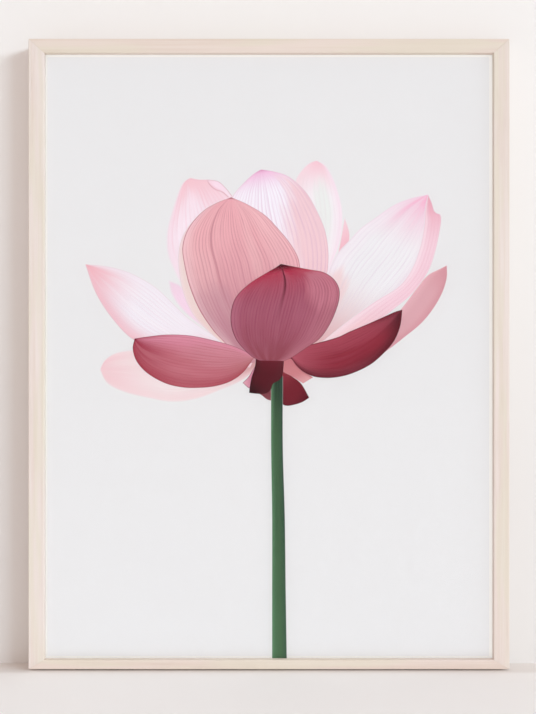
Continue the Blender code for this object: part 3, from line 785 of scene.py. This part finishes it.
def stem_and_sepals():
    """The stalk and the small dark leaves under the flower."""
    petal("sepal_left_far", 12,
          [(-10, -2), (-17, -12), (-22, -20), (-27.5, -25.5)],
          [(-8, -14), (-14, -24), (-20, -31), (-27.5, -25.5)],
          heart=(196, 118, 140), body=(212, 138, 162), tip=(228, 172, 186), fade=0.01,
          outline=(84, 24, 44), outline_amount=0.75, outline_width=0.9, vein_amount=0.2)
    petal("sepal_left_stub", 15,
          [(-6, -20), (-12, -34), (-7, -39), (-2, -42.5), (4, -43.5)],
          [(8, -20), (8, -34), (7, -39), (6, -42), (4, -43.5)],
          heart=(110, 42, 54), body=(126, 56, 66), tip=(146, 82, 92), fade=0.01,
          vein_amount=0.2)
    petal("sepal_right", 16,
          [(8, -8), (10, -34), (13, -47), (17, -48.5), (22, -48), (32, -45), (39.4, -40.4)],
          [(14, -12), (22, -19), (29, -24), (32.5, -28), (36, -34), (39.4, -40.4)],
          heart=(154, 56, 70), body=(122, 28, 44), tip=(92, 12, 30), heart_reach=0.5,
          left_tint=(96, 26, 40), left_amount=0.6, left_reach=0.3,
          vein=(92, 22, 38), vein_count=9, vein_amount=0.4, fade=0.01, mottle=0.1,
          outline=(70, 14, 28), outline_amount=0.6, outline_width=0.9)
    petal("stem", 19,
          [(2, -304), (2, -240), (2, -160), (1, -90), (1, -19)],
          [(17, -304), (16, -240), (15, -160), (13, -90), (13, -19)],
          heart=(73, 108, 75), body=(63, 95, 65), tip=(40, 58, 46), heart_reach=0.5,
          tip_start=0.78, left_tint=(94, 137, 102), left_amount=0.85, left_reach=0.42,
          right_tint=(52, 77, 66), right_amount=0.9, right_reach=0.4,
          vein=(46, 78, 52), vein_count=5, vein_amount=0.25, fade=0.3,
          wash=(80, 119, 82), wash_amount=0.3)
    petal("sepal_front", 20,
          [(-14, 4), (-15, -9), (-18.5, -20), (-20.5, -31), (-21, -35.5)],
          [(14, 2), (13.8, -6), (12.6, -17), (9.5, -22.5), (3, -26.5), (1, -32), (-4, -36),
           (-12, -36.5), (-21, -35.5)],
          heart=(114, 28, 46), body=(92, 14, 30), tip=(40, 2, 12), heart_reach=0.4,
          tip_start=0.5, left_tint=(58, 10, 22), left_amount=0.5, left_reach=0.25,
          right_tint=(94, 32, 42), right_amount=0.5, right_reach=0.4, mottle=0.14,
          vein=(50, 10, 20), vein_count=8, vein_amount=0.4, fade=0.01,
          outline=(36, 4, 14), outline_amount=0.6, outline_width=0.9)
    petal("petal_front_centre", 22,
          [(-11, -3), (-17, 0), (-24, 6), (-34, 18), (-39, 32), (-39, 47), (-34, 61), (-21, 74),
           (-2, 86), (5, 90), (11, 94)],
          [(14, -3.5), (22, 0), (37, 10), (50, 19), (60, 33), (67, 49), (70, 62), (69, 71),
           (63, 80), (53, 86), (42, 88), (26, 91), (11, 94)],
          heart=(148, 72, 86), body=(170, 92, 114), tip=(186, 28, 62), heart_reach=0.5,
          tip_start=0.46, left_tint=(186, 116, 138), left_amount=0.6, left_reach=0.14,
          right_tint=(196, 128, 142), right_amount=0.7, right_reach=0.36,
          band=(182, 42, 72), band_width=18, band_start=0.46, band_amount=0.9,
          patch=(204, 130, 148), patch_across=0.9, patch_along=0.63, patch_width=0.24,
          patch_length=0.17, patch_amount=0.8,
          vein=(132, 52, 80), vein_count=34, vein_amount=0.43, midrib=(92, 20, 42),
          midrib_place=0.465, midrib_amount=1.0, midrib_start=0.35, fade=0.01,
          outline=(96, 26, 46), outline_amount=0.85, outline_width=1.0, mottle=0.1,
          point=(56, 4, 20), point_start=0.82, point_amount=1.0,
          wash=(188, 116, 138), wash_amount=0.3)


# ---------------------------------------------------------------- room, lights and camera

WALL_Y = FRAME_HIGH.y + 0.1 * MM
WALL_INSET = 3 * MM  # how far the wall reaches in behind the frame
FLOOR_SHADE = 11 * MM  # painted shade: the floor's colour darkens over this stretch in front of the frame, standing in for its contact shadow
ROOM_WIDTH = 12.0
ROOM_DEPTH = 12.0
ROOM_HEIGHT = 4.0
PICTURE_MIDDLE = (SHEET_LOW + SHEET_HIGH) / 2
COOL = (0.79, 0.95, 1.03, 1.0)
WARM = (1.0, 0.88, 0.82, 1.0)
EYE_SIDEWAYS = -1 * MM
EYE_DISTANCE = 1.04  # from the front of the frame
EYE_HEIGHT = 311.5 * MM  # over the wood's underside


def plaster_material(name, near, far, axis, reach):
    """Matt plaster whose colour goes from near to far over that stretch of an axis: painted shade,
    darker at one end.
    """
    material, w, shader = new_material(name)
    place = object_place(w)
    at = w.node("SeparateXYZ", {"Vector": place}).outputs[axis]
    colour = w.blend(w.ease(at, *reach), near, far)
    skin = w.use(SPECKLE, {"Vector": place, "Color": colour, "Dark": colour,
                           "Coarse Size": 40.0, "Fine Size": 2.0, "Rough": 0.8,
                           "Rough Swing": 0.1})
    w.feed(shader.inputs["Base Color"], skin["Color"])
    w.feed(shader.inputs["Roughness"], skin["Roughness"])
    shader.inputs["Specular IOR Level"].default_value = 0.2
    return material, w, shader


def wall_material():
    """Pale plaster that is only there from the front, so that the frame's back can be seen too."""
    # painted shade: the plaster's colour is darker towards the floor, up to 0.75 m, for how the light
    # falls on the wall
    material, w, shader = plaster_material(
        "wall plaster", tone(236, 232, 230), tone(250, 246, 244), "Z", (0.0, 0.75))
    behind = w.node("NewGeometry").outputs["Backfacing"]
    one_way = w.node("MixShader", {"Fac": behind})
    w.feed(one_way.inputs[1], shader.outputs[0])
    w.feed(one_way.inputs[2], w.node("BsdfTransparent").outputs[0])
    w.feed(material.node_tree.nodes["Material Output"].inputs["Surface"], one_way.outputs[0])
    return material


def room():
    """A floor, and a wall just behind the bumpers with an opening where the frame hides it."""
    bm = bmesh.new()
    bmesh.ops.create_grid(bm, x_segments=1, y_segments=1, size=0.5)
    for v in bm.verts:
        v.co = (v.co.x * ROOM_WIDTH, v.co.y * ROOM_DEPTH, 0.0)
    # painted shade: the floor's colour goes darker over FLOOR_SHADE up to the frame's front, in place
    # of the frame's contact shadow
    floor, _, _ = plaster_material(
        "pale floor", tone(249, 244, 242), tone(236, 228, 224), "Y",
        (FRAME_LOW.y - FLOOR_SHADE, FRAME_LOW.y))
    new_piece("floor", bm, floor)

    bm = bmesh.new()
    left_edge, right_edge = FRAME_LOW.x + WALL_INSET, FRAME_HIGH.x - WALL_INSET
    top_edge = FRAME_HIGH.z - WALL_INSET
    sides = [(-ROOM_WIDTH / 2, left_edge), (left_edge, right_edge), (right_edge, ROOM_WIDTH / 2)]
    levels = [(0.0, WALL_INSET), (WALL_INSET, top_edge), (top_edge, ROOM_HEIGHT)]
    for i, (left, right) in enumerate(sides):
        for j, (low, high) in enumerate(levels):
            if (i, j) != (1, 1):
                corners = [(left, low), (right, low), (right, high), (left, high)]
                bm.faces.new([bm.verts.new((x, WALL_Y, z)) for x, z in corners])
    bmesh.ops.remove_doubles(bm, verts=bm.verts[:], dist=0.01 * MM)
    new_piece("wall", bm, wall_material())


def lamp(name, kind, comes_from, power, colour, **settings):
    """A lamp at comes_from, or a sun from that side, turned towards the middle of the picture."""
    light = bpy.data.lights.new(name, kind)
    light.energy = power
    light.color = colour
    for key, value in settings.items():
        setattr(light, key, value)
    held = bpy.data.objects.new(name, light)
    bpy.context.scene.collection.objects.link(held)
    held.location = comes_from
    held.rotation_mode = "QUATERNION"
    held.rotation_quaternion = (Vector(comes_from) - PICTURE_MIDDLE).to_track_quat("Z", "Y")
    return held


def only(name, pieces):
    """A collection that tells a lamp which pieces it is meant for."""
    chosen = bpy.data.collections.new(name)
    for piece in pieces:
        chosen.objects.link(piece)
    return chosen


def lights():
    """A long window at the upper right, a fill from the front, and lamps kept for rails and picture."""
    world = bpy.data.worlds.new("soft room light")
    bpy.context.scene.world = world
    world.use_nodes = True
    sky = world.node_tree.nodes["Background"]
    sky.inputs["Color"].default_value = WARM
    sky.inputs["Strength"].default_value = 0.385

    shown = [o for o in bpy.context.scene.objects if o.type == "MESH"]
    printed = [o for o in shown if o.get("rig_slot") == "print_paper" or o.name == "print_sheet"]
    rails = [o for o in shown if o.name.endswith("_rail")]
    others = [o for o in shown if o not in printed and o not in rails]
    window = lamp("window", "AREA", (17.8, -9.1, 6.2), 3850.0, COOL[:3], shape="RECTANGLE",
                  size=18.8, size_y=4.6)
    fill = lamp("front fill", "SUN", (-0.2, -2.0, 1.9), 0.5, WARM[:3], angle=math.radians(70))
    side = lamp("light along the rails", "SUN", (1.0, -1.7, 0.9), 1.30, COOL[:3],
                angle=math.radians(20))
    picture = lamp("picture lamp", "SUN", (0.0, -2.0, 0.5), 1.445, (0.968, 0.992, 1.01),
                   angle=math.radians(5))
    window.light_linking.receiver_collection = only("window falls on", others)
    fill.light_linking.receiver_collection = only("front fill falls on", others + rails)
    side.light_linking.receiver_collection = only("side light falls on", rails)
    picture.light_linking.receiver_collection = only("picture lamp falls on", printed)
    room_pieces = [bpy.data.objects["wall"], bpy.data.objects["floor"]]
    picture.light_linking.blocker_collection = only("picture lamp is stopped by", room_pieces)


def camera():
    """Level and square to the picture, a good metre away."""
    seen = bpy.data.cameras.new("camera")
    seen.lens = 52.6
    seen.sensor_width = 36.0
    seen.clip_start = 0.01
    eye = bpy.data.objects.new("camera", seen)
    bpy.context.scene.collection.objects.link(eye)
    eye.location = (EYE_SIDEWAYS, FRAME_LOW.y - EYE_DISTANCE, WOOD_LOW.z + EYE_HEIGHT)
    eye.rotation_euler = (math.pi / 2, 0.0, 0.0)
    bpy.context.scene.camera = eye


dress_the_frame()
far_petals()
near_petals()
stem_and_sepals()
room()
lights()
camera()
bpy.context.scene.view_settings.view_transform = "Standard"
